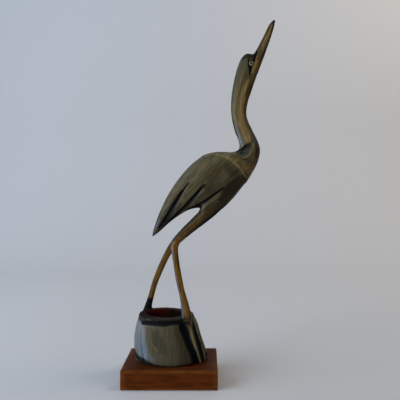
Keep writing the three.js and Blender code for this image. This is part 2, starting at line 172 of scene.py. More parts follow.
# The rock is the open end of the horn: the height, the middle along X and the half length and half
# width of the outside at each level.
ROCK = [
    (14, 0.4, 27.6, 16), (17.5, -0.2, 27.9, 16), (23, -1.4, 27.2, 15.8), (28.5, -2.4, 26.3, 15.4),
    (34, -3.1, 25.2, 14.9), (40, -3.3, 23.8, 14.2), (44.4, -3.6, 22.4, 13.7), (47.4, -4, 20.8, 13),
]
ROCK_WALL = 4.6
HOLLOW_BACK = 1.2
RIM_CLIMB = 2.4
RIM_FOOT = 1.2

# Grooves down the outside of the rock: the angle from +X at the top and at the foot in degrees, the
# height where each starts, its width at the top and at the foot, and its depth.
ROCK_GROOVES = [
    (-55, -44, 45.4, 7.8, 6.2, 2.6), (-30, -32, 45, 3, 4.2, 2.2), (-7, -14, 43, 3, 3.6, 2),
    (-142, -135, 43, 2.2, 2.6, 1), (30, 34, 45, 3.6, 3.6, 2), (58, 54, 43, 3.6, 3.6, 1.8),
    (104, 98, 42, 3, 3, 1.2), (150, 146, 43, 3, 3, 1.4),
]
RIM_HOLLOW = {"from": -148, "to": -46, "height": 44.6, "width": 4.2, "depth": 1.5, "lean": -0.4}

EYE = {"at": (60.7, 239.1), "radius": 1.65, "bevel": 0.35, "sunk": 1.5, "proud": 0.35, "gap": 0.15}
EYE_SIDES = 40
PUPIL = {"radius": 0.78, "depth": 0.25, "draft": 0.07, "crown": 0.06}

# Edges of the plinth, how often the edges of its mesh are halved and at what length that stops, and how
# far in and how deep its corners are worn.
PLINTH_EASED = 0.7
PLINTH_HALVINGS = 4
PLINTH_MESH = 1.6
PLINTH_WORN = 2.2
PLINTH_WEAR = 0.22

# How square the rounded sections are, where 2 is an ellipse, and the sides of their rings.
BIRD_SQUARENESS = 2.2
LEG_SQUARENESS = 3.0
ROCK_SQUARENESS = 1.9
BIRD_SIDES = 72
LEG_SIDES = 40
ROCK_SIDES = 120
HOLLOW_SIDES = 96

# How far the cutters stand clear of the skin, and the steps between the stations of a groove.
CLEAR = 3.0
GROOVE_STEPS = 6

# The finished skin's grid, how often it is softened, and the depth of the knife slip.
GRID = 0.58
SOFTENINGS = 2
SLIP_DEPTH = 0.35

CAMERA_AT = (27.2, -307.0, 138.8)
CAMERA_SENSOR, CAMERA_LENS = 36.0, 36.0
CAMERA_SHIFT = (-0.0175, -0.01)


def smooth_run(stations, steps):
    """A centripetal Catmull-Rom curve through stations of any count of numbers, with even steps."""
    knots = np.array(stations, float)
    knots = np.vstack([2 * knots[0] - knots[1], knots, 2 * knots[-1] - knots[-2]])
    run = []
    gaps = np.sqrt(np.linalg.norm(np.diff(knots, axis=0), axis=1))
    for number, (near, gap, far) in enumerate(zip(gaps, gaps[1:], gaps[2:])):
        before, here, there, after = knots[number:number + 4]
        leave = ((here - before) / near - (there - before) / (near + gap) + (there - here) / gap) * gap
        arrive = ((there - here) / gap - (after - here) / (gap + far) + (after - there) / far) * gap
        for t in np.arange(steps) / steps:
            bend = 3 * (there - here) - 2 * leave - arrive
            twist = 2 * (here - there) + leave + arrive
            run.append(here + leave * t + bend * t ** 2 + twist * t ** 3)
    run.append(knots[-2])
    return np.array(run)


def rounded(turns, squareness):
    """How far along and across a rounded section the points at some turns lie, from -1 to 1."""
    along, across = np.cos(turns), np.sin(turns)
    power = 2 / squareness
    return np.sign(along) * abs(along) ** power, np.sign(across) * abs(across) ** power


def section(sides, squareness):
    return rounded(2 * math.pi * np.arange(sides) / sides, squareness)


def unit(vectors):
    return vectors / np.linalg.norm(vectors, axis=-1, keepdims=True)


def headings(run):
    """The direction of travel at each place of a run."""
    return unit(np.gradient(run, axis=0))


def outline_rings(stations, keel, sides, steps):
    """Rings between the back and the front of an outline, which keel narrows towards the front."""
    rows = np.array(stations)
    back = smooth_run(rows[:, [0, 4, 1]], steps)
    front = smooth_run(rows[:, [2, 4, 3]], steps)
    along, across = section(sides, BIRD_SQUARENESS)
    forward = ((1 + along) / 2)[None, :, None]
    rings = back[:, None, :] * (1 - forward) + front[:, None, :] * forward
    rings[:, :, 1] = back[:, 1:2] * across * (1 - keel * forward[:, :, 0])
    return rings


def leg_rings(stations, sides, steps):
    """Rings down a leg, whose outer edge towards the tail is pared off as a flat."""
    rows = np.array(stations)
    middle = smooth_run(rows[:, :3], steps)
    sizes = smooth_run(rows[:, 3:5], steps)
    forwards = headings(middle * (1, 0, 1))
    along, across = section(sides, LEG_SQUARENESS)
    outward = math.copysign(1, middle[-1, 1])
    excess = np.maximum((along + outward * across) / math.sqrt(2) - LEG_BEVEL, 0)
    along, across = along - excess / math.sqrt(2), across - outward * excess / math.sqrt(2)
    rings = np.repeat(middle[:, None, :], sides, axis=1)
    rings[:, :, 0] += forwards[:, 2:3] * sizes[:, 0:1] * along
    rings[:, :, 1] += sizes[:, 1:2] * across
    rings[:, :, 2] -= forwards[:, 0:1] * sizes[:, 0:1] * along
    return rings


def rock_ring(z, middle, long, wide, inset, climb, sides):
    """A ring round the rock, set in by its wall. Climb is 1 for the slanted rim and 0 for the others."""
    along, across = section(sides, ROCK_SQUARENESS)
    back = (1 + across) / 2
    foot = np.maximum(0, -along) * back
    x = middle + (long - inset) * along
    y = (wide - inset) * across
    return np.column_stack([x, y, z + climb * (RIM_CLIMB * back + RIM_FOOT * foot)])


def loft(rings):
    """A closed skin over rings of points: a circle is extruded from ring to ring and its ends filled."""
    bm = bmesh.new()
    order = bm.verts.layers.int.new("order")
    bmesh.ops.create_circle(bm, segments=rings.shape[1], radius=1.0)
    for number, vert in enumerate(bm.verts):
        vert[order] = number
    verts, loop = bm.verts[:], bm.edges[:]
    for number, ring in enumerate(rings):
        if number > 0:
            grown = bmesh.ops.extrude_edge_only(bm, edges=loop)["geom"]
            verts = verts_of(grown)
            loop = [item for item in grown if isinstance(item, bmesh.types.BMEdge) and item.is_boundary]
        for vert in verts:
            vert.co = ring[vert[order]]
    bmesh.ops.holes_fill(bm, edges=[edge for edge in bm.edges if edge.is_boundary], sides=0)
    bmesh.ops.recalc_face_normals(bm, faces=bm.faces)
    return make_object("loft", bm)


def verts_of(geometry):
    """The vertices among what an operator made."""
    return [item for item in geometry if isinstance(item, bmesh.types.BMVert)]


def new_object(name, data):
    made = bpy.data.objects.new(name, data)
    bpy.context.scene.collection.objects.link(made)
    return made


def make_object(name, bm):
    mesh = bpy.data.meshes.new(name)
    bm.to_mesh(mesh)
    bm.free()
    return new_object(name, mesh)


def settle(piece):
    """Applies a piece's modifiers to its mesh."""
    graph = bpy.context.evaluated_depsgraph_get()
    mesh = bpy.data.meshes.new_from_object(piece.evaluated_get(graph))
    piece.modifiers.clear()
    piece.data = mesh
    return piece


def combine(piece, other, operation):
    """Joins, cuts or crops a piece with another, which is used up."""
    change = piece.modifiers.new(operation, "BOOLEAN")
    change.operation = operation
    change.object = other
    change.solver = "MANIFOLD"
    settle(piece)
    bpy.data.objects.remove(other)
    return piece


def mesh_tree(piece):
    bm = bmesh.new()
    bm.from_mesh(piece.data)
    tree = BVHTree.FromBMesh(bm)
    bm.free()
    return tree


def skin_of(tree):
    """How far a skin stands from the middle plane at x and z, or nought beside the shape."""
    outside, inwards = -100.0, Vector((0, 1, 0))

    def stand_off(x, z):
        hit = tree.ray_cast(Vector((x, outside, z)), inwards)[0]
        return abs(hit.y) if hit else 0.0

    return stand_off


def groove(places, outs, widths, depths, lean):
    """The cutter of a V-shaped groove along places on a skin. Lean moves its bottom from -1 to 1."""
    sideways = unit(np.cross(headings(places), outs))
    reach = widths[:, None] / 2
    corners = [
        places + sideways * lean * reach - outs * depths[:, None],
        places + sideways * reach,
        places + sideways * reach + outs * CLEAR,
        places - sideways * reach + outs * CLEAR,
        places - sideways * reach,
    ]
    return loft(np.stack(corners, axis=1))


def line_groove(line, stand_off, out, lean):
    """The cutter of a groove down a line in the side view, at its stand-off from the middle plane."""
    run = smooth_run(line, GROOVE_STEPS)
    places = np.array([(x, stand_off(x, z), z) for x, z, *_ in run])
    outs = np.tile(unit(np.array(out)), (len(run), 1))
    return groove(places, outs, run[:, 2], run[:, 3], lean)


def feather_cutter(cut, skin, side):
    """A cut with one steep side, whose floor rises to the skin on the side towards the breast."""
    run = smooth_run(cut, GROOVE_STEPS)
    rings = []
    for (x, z, width), (ahead_x, ahead_z) in zip(run, headings(run[:, :2])):
        far_x, far_z = x - ahead_z * width, z + ahead_x * width
        steep = skin(x, z)
        floor = max(TAIL_WEB, steep - FEATHER_DEPTH)
        far_skin = max(skin(far_x, far_z), TAIL_WEB)
        top = max(steep, far_skin) + CLEAR
        sag = floor * FEATHER_SAG + far_skin * (1 - FEATHER_SAG)
        near_side = [(x, top, z), (x, floor, z)]
        far_side = [(far_x, far_skin, far_z), (far_x, top, far_z)]
        corners = [*near_side, ((x + far_x) / 2, sag, (z + far_z) / 2), *far_side]
        rings.append([(a, side * b, c) for a, b, c in corners])
    return loft(np.array(rings))


def rock_places(angles, heights):
    """Places on the outside of the rock at angles round the oval and heights, and the ways out there."""
    levels = np.array(ROCK)
    middle, long, wide = (np.interp(heights, levels[:, 0], levels[:, column]) for column in (1, 2, 3))
    along, across = rounded(np.radians(angles), ROCK_SQUARENESS)
    places = np.column_stack([middle + long * along, wide * across, heights])
    outs = unit(np.column_stack([along / long, across / wide, np.zeros(len(along))]))
    return places, outs


def rock_groove(top, foot, highest, top_width, foot_width, depth):
    """The cutter of a groove down the rock, which grows from thin at its top within a few millimetres."""
    stations, thin, growth, lowest = 25, 0.2, 5, ROCK[0][0]
    share = np.linspace(0, 1, stations)
    swell = np.minimum(1, thin + growth * (1 - share))
    places, outs = rock_places(foot + (top - foot) * share, lowest + (highest - lowest) * share)
    places[0, 2] -= CLEAR
    widths = foot_width + (top_width - foot_width) * share
    return groove(places, outs, widths * swell, depth * swell, 0.0)


def rim_hollow():
    """The cutter of the hollow under the rim, full for most of its length and thin at both ends."""
    stations, thin, fullness = 57, 0.12, 0.4
    share = np.linspace(0, 1, stations)
    swell = np.maximum(thin, np.sin(math.pi * share) ** fullness)
    angles = RIM_HOLLOW["from"] + (RIM_HOLLOW["to"] - RIM_HOLLOW["from"]) * share
    places, outs = rock_places(angles, np.full(len(share), RIM_HOLLOW["height"]))
    return groove(places, outs, RIM_HOLLOW["width"] * swell, RIM_HOLLOW["depth"] * swell, RIM_HOLLOW["lean"])


def wing_field():
    """The space behind the shoulder line, as deep as the bird is thick."""
    half_depth, tail, foot, breast = 20.0, -20.0, 100.0, 50.0
    start, *bends = SHOULDER
    edge = smooth_run(bends, 12)
    outline = [(tail, foot), (tail, start[1]), start, *edge, (breast, foot)]
    bm = bmesh.new()
    face = bm.faces.new([bm.verts.new((x, -half_depth, z)) for x, z in outline])
    grown = bmesh.ops.extrude_face_region(bm, geom=[face])["geom"]
    bmesh.ops.translate(bm, verts=verts_of(grown), vec=(0, 2 * half_depth, 0))
    bmesh.ops.recalc_face_normals(bm, faces=bm.faces)
    return make_object("wing_field", bm)


def eye_seat(skin, side):
    x, z = EYE["at"]
    depth, radius = EYE["sunk"] + EYE["gap"], EYE["radius"] + EYE["gap"]
    bm = bmesh.new()
    bmesh.ops.create_cone(
        bm, cap_ends=True, segments=EYE_SIDES, depth=depth + CLEAR, radius1=radius, radius2=radius,
    )
    bmesh.ops.rotate(bm, verts=bm.verts, matrix=Matrix.Rotation(math.pi / 2, 3, "X"))
    bmesh.ops.translate(bm, verts=bm.verts, vec=(x, side * (skin(x, z) + (CLEAR - depth) / 2), z))
    return make_object("eye_seat", bm)


def uncut_body():
    wings = combine(loft(outline_rings(WINGS, WING_KEEL, BIRD_SIDES, 8)), wing_field(), "INTERSECT")
    return combine(loft(outline_rings(BIRD, BIRD_KEEL, BIRD_SIDES, 5)), wings, "UNION")


def uncut_rock():
    rings = [rock_ring(*level, 0, 0, ROCK_SIDES) for level in smooth_run(ROCK, 4)]
    rings[-1] = rock_ring(*ROCK[-1], 0, 1, ROCK_SIDES)
    return loft(np.array(rings))


def rock_hollow():
    """The space inside the rock, which lies a little towards the back."""
    foot, top = ROCK[0], ROCK[-1]
    levels = [(foot[0] - CLEAR, *foot[1:]), *smooth_run(ROCK, 4), (top[0] + 3 * CLEAR, *top[1:])]
    rings = np.array([rock_ring(*level, ROCK_WALL, 0, HOLLOW_SIDES) for level in levels])
    return loft(rings + [0.0, HOLLOW_BACK, 0.0])


def body_cutters(skin):
    """What is cut from the bird: feathers, hollows and the seats of the eyes, then the thighs."""
    cutters = []
    for side in (-1, 1):
        cutters += [feather_cutter(cut, skin, side) for cut in FEATHER_CUTS]
        for hollow, lean in ((NECK_HOLLOW, NECK_LEAN), (CHEEK_HOLLOW, 0)):
            cutters.append(line_groove(hollow, lambda x, z: side * skin(x, z), (0, side, 0), side * lean))
        cutters.append(eye_seat(skin, side))
    return cutters + [line_groove(line, lambda x, z: 0, out, 0) for line, out in THIGH_GROOVES]


def carve(body, rock, skin):
    """Makes every cut, and joins the bird, its legs and the rock."""
    for cutter in body_cutters(skin):
        combine(body, cutter, "DIFFERENCE")
    for cutter in (*(rock_groove(*cut) for cut in ROCK_GROOVES), rim_hollow()):
        combine(rock, cutter, "DIFFERENCE")
    for leg in (RIGHT_LEG, LEFT_LEG):
        combine(rock, loft(leg_rings(leg, LEG_SIDES, 5)), "UNION")
    combine(rock, rock_hollow(), "DIFFERENCE")
    return combine(body, rock, "UNION")


# The grain of the horn follows the beak, the neck and then the folded wings and thighs.
GRAIN_TAIL = [(20.0, 138.0), (-8.0, 112.7)]
GRAIN_NECK_STATIONS = 16
KNEE_HEIGHT = 105.0
RIM_HEIGHT = 50.0

# How far along the grain of the left leg is moved, so that it differs from the right one's.
LEFT_LEG_SHIFT = 40

# How far the raw inside of the rock, the tones of the rock and the edges of the tones reach or wander.
RAW_EDGE = 0.7
ROCK_BLEND = 6.0
TONE_WANDER = 0.8

# Tones in the horn, painted shade and sheen among them, as brush strokes in the side view: x, z and
# half width at each place, then how far the stroke fades, how strong it is, and -1 for one on the bird's
# right only.
Stroke = namedtuple("Stroke", "places fade amount side", defaults=(1.0, 0))


def strokes(*rows):
    return [Stroke(*row) for row in rows]


def edge_line(stations, inset, reach):
    """Places just inside the front outline of some stations."""
    return [(x - inset, z, reach) for _, _, x, z, _ in stations]


def cut_line(cut, across, reach):
    """Places down a cut between feathers: 0 across is its steep side and 1 the other one."""
    return [
        (x - ahead_z * width * across, z + ahead_x * width * across, reach * min(1, 0.7 + width / 4))
        for (x, z, width), (ahead_x, ahead_z) in zip(cut, headings(np.array(cut)[:, :2]))
    ]


def leg_line(stations, aside, reach):
    """Places down a leg, to the front of its middle, or behind it where aside is below nought."""
    return [(x + aside, z, reach) for x, _, z, _, _ in stations]


# A knife slip on the face of the rock.
SCRATCH = [(-13.7, 30.6), (-11.6, 27.6), (-9.2, 25.3)]

# Smoke: a dark grey green along the nape and the back, in the hollow of the neck, on tail and rock, and
# painted shade in the crease at the left of the rock.
SMOKY = strokes(
    ([(53.4, 240.6, 0.8), (50.8, 231.5, 1.1), (48.2, 221, 0.9), (46.8, 211, 0.3)], 1.8, 0.5),
    ([(52, 171.8, 1.8), (56.6, 172.4, 2.6), (59.4, 175.6, 1.8), (60.6, 179.4, 0.6)], 1.8, 0.8),
    ([(52.4, 167.2, 0.2), (57.4, 165.4, 0.7), (62, 164, 0.4)], 1.3, 0.6),
    ([(x, z, 0.8) for x, z, *_ in WINGS[1:9]], 4, 0.42),
    ([(-13.8, 108.6, 0.3), (-11.6, 114.6, 0.7), (-8, 122.2, 0.6), (-3.6, 130.6, 0.2)], 1.4, 0.55),
    ([(-12.8, 110.4, 0.8), (-7, 118, 2.2), (-1, 126, 2.8), (5, 132.6, 2.2)], 2.6, 0.5),
    ([(-11, 38, 0.6), (-8.6, 33, 2), (-6, 27, 1.6)], 4, 0.45, -1),
    # Painted shade in the crease at the left of the rock.
    ([(-22, 40, 0), (-22.6, 36, 0.1), (-22.8, 29, 0.1), (-22, 24, 0)], 0.7, 0.4, -1),
)

# Umber: dark brown on the crown, throat, breast and flank and the edges of the legs; painted shade on
# the rim and along the front edge, which faces away from the window.
UMBER = strokes(
    ([(53.6, 243.6, 0.8), (56.4, 246.2, 1.6), (60, 246.2, 2.2), (63.6, 247.6, 0.8)], 1.6, 0.95),
    ([(67, 253, 0.6), (72, 263.6, 0.7), (78.2, 273.6, 0.5)], 1.3, 0.7),
    # Painted shade along the front edge of the head, neck and breast, the side away from the window.
    (edge_line(BIRD[:12], 0.2, 0.9), 1.2, 0.95),
    ([(61.4, 223, 0.4), (58.6, 214, 1.2), (57.2, 205, 1.3), (57.6, 198, 0.9), (60.6, 191, 0.9)], 1.8, 0.8),
    ([(62.6, 188, 0.8), (65.6, 181, 1.6), (67.4, 174, 2), (66, 167, 1.4), (62.8, 160, 0.6)], 2.4, 0.9),
    ([(56.2, 151.8, 0.8), (51.4, 148.6, 3), (46.6, 145, 3.8), (43, 140.6, 3.2), (39.6, 136, 1.6)], 4.4, 0.95),
    # Painted shade on the top of the rim.
    ([(-25, 50.8, 2), (-14, 50.2, 2.6), (0, 50, 2.6), (18, 49.4, 2)], 1.2, 0.95),
    ([(37, 159, 0.6), (31.6, 151.6, 1.6), (27, 144.6, 0.8)], 3.2, 0.35),
    ([(40, 134, 1.4), (34, 129.6, 2), (26, 122.6, 1.2), (17.2, 115, 0.6), (8.6, 107.2, 0.4)], 2.4, 0.8),
    ([(20.6, 128, 1), (13.4, 120.2, 1.3), (3.6, 109.6, 1.4), (0.4, 104, 1.8), (-1, 101, 1)], 2.2, 0.9),
    ([(31, 133.6, -0.8), (25.2, 127, 1.2), (18.6, 120, 1.8), (12.6, 113.8, 1.5),
      (7.6, 109.2, 1.2)], 2.4, 0.75),
    ([(36, 147, 1), (28, 141, 1.6), (20, 135, 1)], 3, 0.45),
    ([(42, 161, 0.6), (47.4, 155.6, 1.8), (50.4, 150, 2.4)], 4, 0.5),
    (leg_line(RIGHT_LEG[1:9], 0, 3.2), 1, 0.95),
    ([*leg_line(RIGHT_LEG[8:12], 0.8, 1.8), (18.6, 30, 0.6), (22, 18, 0.4)], 1.2, 0.75, -1),
    (leg_line(LEFT_LEG[1:9], 0, 3.2), 1, 0.95),
    ([(6, 40, 0.6), (9, 31, 1.4), (12, 22, 2.4), (12, 16, 2.8)], 5, 0.6, -1),
)

# Amber: where the horn is thin or near its core.
AMBER = strokes(
    ([(67.9, 246.4, 0.5), (66.6, 241, 0.7), (64.4, 235, 0.5)], 1.4, 0.6),
    ([(68.4, 249.6, 0.6), (72, 258, 0.7), (75.6, 266, 0.4)], 1.6, 0.35),
    ([(61, 228.6, 0.6), (58.4, 220.6, 0.9), (56.4, 211.6, 0.7), (55.6, 201.6, 0.5),
      (58.4, 192.6, 0.2)], 2, 0.48),
    ([(48, 167, 0.1), (52.6, 164, 0.8), (57, 160, 1.4), (59, 157, 0.6)], 2.2, 0.38),
    ([(64, 166, 0.2), (61.6, 160.8, 0.9), (58.2, 154.8, 0.3)], 1.8, 0.5),
    ([(33, 131, 0), (25.4, 124.4, 0.6), (15.8, 115.8, 1)], 2, 0.42),
    ([(16, 115.6, 0.9), (8.4, 107.4, 1.3), (4, 103, 1.7)], 1.6, 0.58),
    ([(4.4, 103.6, 1.4), *leg_line(RIGHT_LEG[2:9], 0.7, 1.5)], 1.1, 1),
    ([(12.4, 51.5, 0.9), (14, 46.8, 0.6), (15.2, 42, 0.2)], 1.3, 0.35, -1),
    (leg_line(LEFT_LEG[1:8], 0.2, 1.1), 1.3, 0.95),
    ([(-5.2, 121.4, 0.1), (-7.2, 117.8, 0.5), (-10.4, 112.8, 0.6), (-13.8, 108.4, 0.3)], 0.7, 0.5),
)

# Straw: the palest fibres, on the beak, the cheek, the neck and the shoulder; painted sheen on the rock
# and painted light on the left of the neck.
PALE = strokes(
    # Painted sheen on the upper left of the rock.
    ([(-22, 41, 0.2), (-22, 36, 0.4), (-21.6, 30, -0.4)], 4.6, 0.36, -1),
    ([(65, 244.6, 0.3), (64.3, 240.6, 0.8), (63, 236, 0.6), (61.8, 232.4, 0.2)], 0.9, 0.75),
    # Painted light from the window on the left of the neck.
    ([(54, 232, 0.2), (51.4, 223, 0.9), (49.6, 212, 1.1), (49.4, 201, 1), (51.4, 192, 0.4)], 2, 0.2),
    ([(40, 168.6, 0), (47, 166.2, 0.6), (53, 162.6, 1.3), (57.4, 158.4, 1)], 2, 0.24),
    ([(69.4, 250.6, 0.3), (72.8, 260, 0.6), (76.8, 269.4, 0.4)], 1, 0.65),
    ([(58, 226, 0.1), (54.6, 217, 0.6), (52.4, 208.6, 0.9), (52.5, 200, 1.1), (53.8, 193, 1.1),
      (56.4, 186.4, 1.4), (58.6, 180.6, 0.7)], 2.1, 0.82),
)

# Ridges rubbed pale by hands, on the shoulder, round the hollow of the neck and down the rock, and the
# knife slip.
RUBBED = strokes(
    ([(26, 168.8, 0), (31, 170.2, 0.1), (36, 169.7, 0.1), (41.2, 167.5, 0.1)], 0.8, 0.4),
    ([(41.2, 167.6, 0.1), (46.2, 164.5, 0.2), (51.2, 159.9, 0.3), (54.2, 156, 0.2),
      (56.6, 152.8, 0)], 0.8, 0.6),
    ([(53.6, 167.2, -0.1), (56.4, 167.8, 0.1), (59.2, 170.2, 0.1), (60.4, 172.4, 0)], 0.7, 0.85),
    ([(60.4, 172.4, 0), (61.3, 174.6, 0), (61.8, 178.6, 0)], 0.7, 0.4),
    ([(14.6, 42, 0.2), (16.2, 35, 0.5), (18.2, 28, 0.5), (20.5, 21, 0.3), (22.2, 15.5, 0.1)], 0.7, 0.5, -1),
    ([(20.2, 40, 0), (22, 34.2, 0.1), (24.1, 27.4, 0.2), (25.6, 20.7, 0.2), (26.6, 16, 0)], 0.5, 0.5, -1),
    ([(x, z, -0.1) for x, z in SCRATCH], 0.5, 0.8, -1),
)

# Painted sheen: a blue grey reflection of the window, on the rock and on edges that face backwards.
PAINTED_SHEEN = strokes(
    ([(0.5, 102.4, -0.3), (0.6, 98.6, 0.3), (1.2, 94, 0.2)], 0.7, 0.42),
    ([*leg_line(RIGHT_LEG[3:8], -2.1, 0.2), (9, 53, 0.5), (9.2, 49.4, 0.7)], 0.8, 0.32),
    ([(-21.4, 43, -2.2), (-22, 34, -1), (-21.6, 27, 0.3), (-19.6, 21, 0.2)], 7, 0.72, -1),
    ([(-17, 20, 0.4), (-12, 18.6, 0.4)], 3, 0.25, -1),
    ([(-24.4, 44, 0.6), (-26, 34, 1), (-26.8, 26, 0.8)], 2.6, 0.4, -1),
    ([(48.4, 193.6, -0.2), (49.9, 187.6, 0), (52.2, 181, 0.6), (53.8, 176.8, 0.4)], 0.7, 0.45, -1),
    ([(-13.6, 109.6, 0), (-11.8, 114.2, 0.2), (-8.6, 121.2, 0.1)], 0.8, 0.26),
)

# Near black: painted shade round the eye, in the hollow of the neck, along the cuts and the edges of the
# wing, neck and thighs, in the grooves of the rock, on its rim and along its foot; black on the far foot.
BLACK_AND_SHADE = strokes(
    ([(60.7, 239.2, 1.95), (60.7, 239, 1.95)], 0.3),
    ([(58.6, 242.8, 0.3), (58.5, 239.6, 0.45), (59, 236.4, 0.5)], 0.4),
    ([(60.3, 237.4, 1.2), (60, 234.8, 0.85), (59.7, 232, 0.4), (59.6, 230, 0.05)], 0.45),
    ([(62.6, 240.4, 0.3), (63.2, 243.2, 0.7), (64.1, 246.8, 0.8), (65.2, 249.6, 0.4)], 0.7),
    ([(49.6, 172.3, 0.3), (52.8, 173.6, 0.6), (55.8, 176.4, 0.6), (57, 177.8, 0.2)], 0.6),
    ([(51.8, 171.2, 0.2), (53.8, 171.4, 0.3)], 0.6, 0.8),
    ([(x, z, 0.1) for x, z, *_ in BIRD[6:13]], 0.7, 0.6),
    ([(x, z, 0.5) for x, z, *_ in WINGS[7:]], 0.6, 0.7),
    ([(46.2, 198, 0.1), (48.6, 188, 0.3), (51.4, 180, 0.3), (51.6, 175.4, 0.2)], 0.6, 0.85),
    ([(57.7, 189.5, -0.1), (58.3, 187.2, -0.1), (56.2, 186.2, -0.2)], 0.5, 0.7, -1),
    (cut_line(FEATHER_CUTS[0][:5], 0.1, 0.45), 0.5),
    ([(7.6, 142.4, 0.3), (5.8, 139.4, 0.7), (3.8, 135.8, 1), (1.2, 131.4, 1), (-1.8, 126.8, 0.5)], 1, 0.5),
    (cut_line(FEATHER_CUTS[1], 0.12, 0.6), 0.5),
    ([(24.6, 146.6, 0.3), (22.4, 144.4, 0.8), (20, 141.4, 0.8), (17, 137.6, 0.4)], 0.7, 0.7),
    (cut_line(FEATHER_CUTS[2], 0.14, 0.6), 0.5),
    ([(-4.6, 117, 0.3), (-9, 112.8, 0.3), (-12.4, 109.4, 0.2)], 0.5, 0.9),
    ([(22.6, 131.4, 0.7), (17.6, 130.4, 1), (12.8, 128.4, 0.5)], 0.8, 0.95),
    (edge_line(WINGS[5:11], 0, 0.3), 0.6, 0.95),
    ([(21.6, 129.6, 0.6), (15.4, 122.4, 0.8), (8.2, 115.2, 0.8), (2.2, 108.6, 0.7),
      (-1.2, 104.6, 0.8)], 0.8, 1),
    ([(-17.6, 57, 1.8), (-19.4, 52.6, 3), (-21.4, 48.6, 3.6)], 1.8, 0.8),
    ([(-19, 58.2, 0.6), (-17.8, 56.6, 0.8)], 0.8, 1),
    ([(-20, 52.6, 0.8), (-16.6, 52, 1)], 1, 1),
    ([(-12.6, 31.4, -0.2), (-8.4, 29.2, -0.2)], 0.5, 0.6, -1),
    ([(45.4, 136, 0.1), (40.4, 131.4, 0.5), (30, 122.8, 0.6), (20, 114.6, 0.6), (12, 107.8, 0.5)], 0.6, 0.95),
    ([(-20.8, 43.9, 1), (-18, 44.7, 1.4), (-13, 45, 1.6), (-9, 45.1, 1.7), (-5, 45, 1.9), (-2, 45.2, 1.7),
      (1, 45.6, 1.3), (6, 45.4, 1.4), (10, 45.2, 0.9), (13.6, 45.2, 0.6)], 0.7, 1, -1),
    ([(-22, 49, 0.8), (-10, 48.4, 1), (8, 48.2, 0.8)], 1.2, 0.5, -1),
    ([(8.6, 45, 2), (9.2, 42.3, 2.5), (11.6, 35.6, 2.1), (13.8, 28.9, 2.1), (17, 22.3, 2.1),
      (18.8, 15.5, 2.4)], 0.8, 1, -1),
    ([(16.4, 44, 0.2), (16.9, 41, 0.4), (19.1, 34.2, 0.9), (21.3, 27.4, 1.1), (23, 20.7, 1.1),
      (24.2, 15.5, 0.9)], 0.4, 1, -1),
    ([(20.8, 44, 0.2), (22.6, 38, 0.4), (24.9, 31, 0.7), (26.7, 25, 0.9), (28.1, 18, 1.2)], 0.4, 1, -1),
    ([(-27.6, 21.4, 0.5), (-25.8, 18.2, 1.3), (-21.5, 16.4, 1.9), (-17, 15.4, 1.5), (-12, 14.4, 0.6),
      (0, 13.8, 0.4), (12, 14, 0.7), (20, 14.4, 1)], 1.3, 0.95, -1),
)

# The painted shade in the cuts is lessened in the hollow of the neck and at the tip of the tail.
LESS_SHADE = strokes(
    ([(51, 171, 2), (55.4, 171.4, 3), (59, 175, 3), (61, 180, 2)], 0.8, 0.85),
    ([(-5.2, 121.4, 0.1), (-7.2, 117.8, 0.6), (-10.4, 112.8, 0.8), (-13.8, 108.4, 0.4)], 0.6, 0.9),
    ([(-4.6, 121.4, 0.4), (-1.6, 125.4, 0.8), (2.4, 131, 0.8)], 1, 0.35),
)

# Painted glow: the wall inside the rock is painted a brighter red where it is thin, as if lit through.
GLOW = strokes(([(-20, 48, 0.6), (-15, 45.6, 1.6), (-8, 45, 0.6)], 9))

WANDERING = {"smoky": SMOKY, "umber": UMBER, "amber": AMBER, "pale": PALE, "painted_sheen": PAINTED_SHEEN}
CRISP = {"rubbed": RUBBED, "black_and_shade": BLACK_AND_SHADE, "glow": GLOW}


def reach_segment(flat, start, step):
    """How far along a segment, from 0 to 1, each point lies, and the way from there to the point."""
    share = np.clip((flat - start) @ step / (step @ step), 0, 1)
    return share, flat - start - share[:, None] * step


def along_line(points, line):
    """How far each point is from a line in the side view, how far along it and how far to its right."""
    flat = points[:, [0, 2]]
    found = np.full((len(flat), 3), np.inf)
    travelled = 0.0
    for start, end in zip(line, line[1:]):
        step = end - start
        length = np.linalg.norm(step)
        share, gap = reach_segment(flat, start, step)
        aside = (step[0] * gap[:, 1] - step[1] * gap[:, 0]) / length
        here = np.column_stack([np.linalg.norm(gap, axis=1), travelled + share * length, aside])
        found = np.where(here[:, :1] < found[:, :1], here, found)
        travelled += length
    return found


def grain_of(points):
    """Coordinates along the grain, across it and through it, in millimetres."""
    rows = np.array(BIRD[:GRAIN_NECK_STATIONS])
    spine = np.vstack([(rows[:, 0:2] + rows[:, 2:4]) / 2, GRAIN_TAIL])
    legs = [np.array(leg)[:, [0, 2]] for leg in (RIGHT_LEG, LEFT_LEG)]
    bird, right, left = (along_line(points, smooth_run(line, 3)) for line in (spine, *legs))
    left[:, 1] += LEFT_LEG_SHIFT
    leg = np.where(right[:, :1] < left[:, :1], right, left)
    found = np.where(points[:, 2:] > KNEE_HEIGHT, bird, leg)
    grain = np.column_stack([found[:, 1:], points[:, 1]])
    on_rock = points[:, 2] < RIM_HEIGHT
    grain[on_rock] = points[on_rock][:, [2, 0, 1]]
    return grain


def ease(values):
    """Runs smoothly from 0 to 1."""
    values = np.clip(values, 0, 1)
    return values * values * (3 - 2 * values)


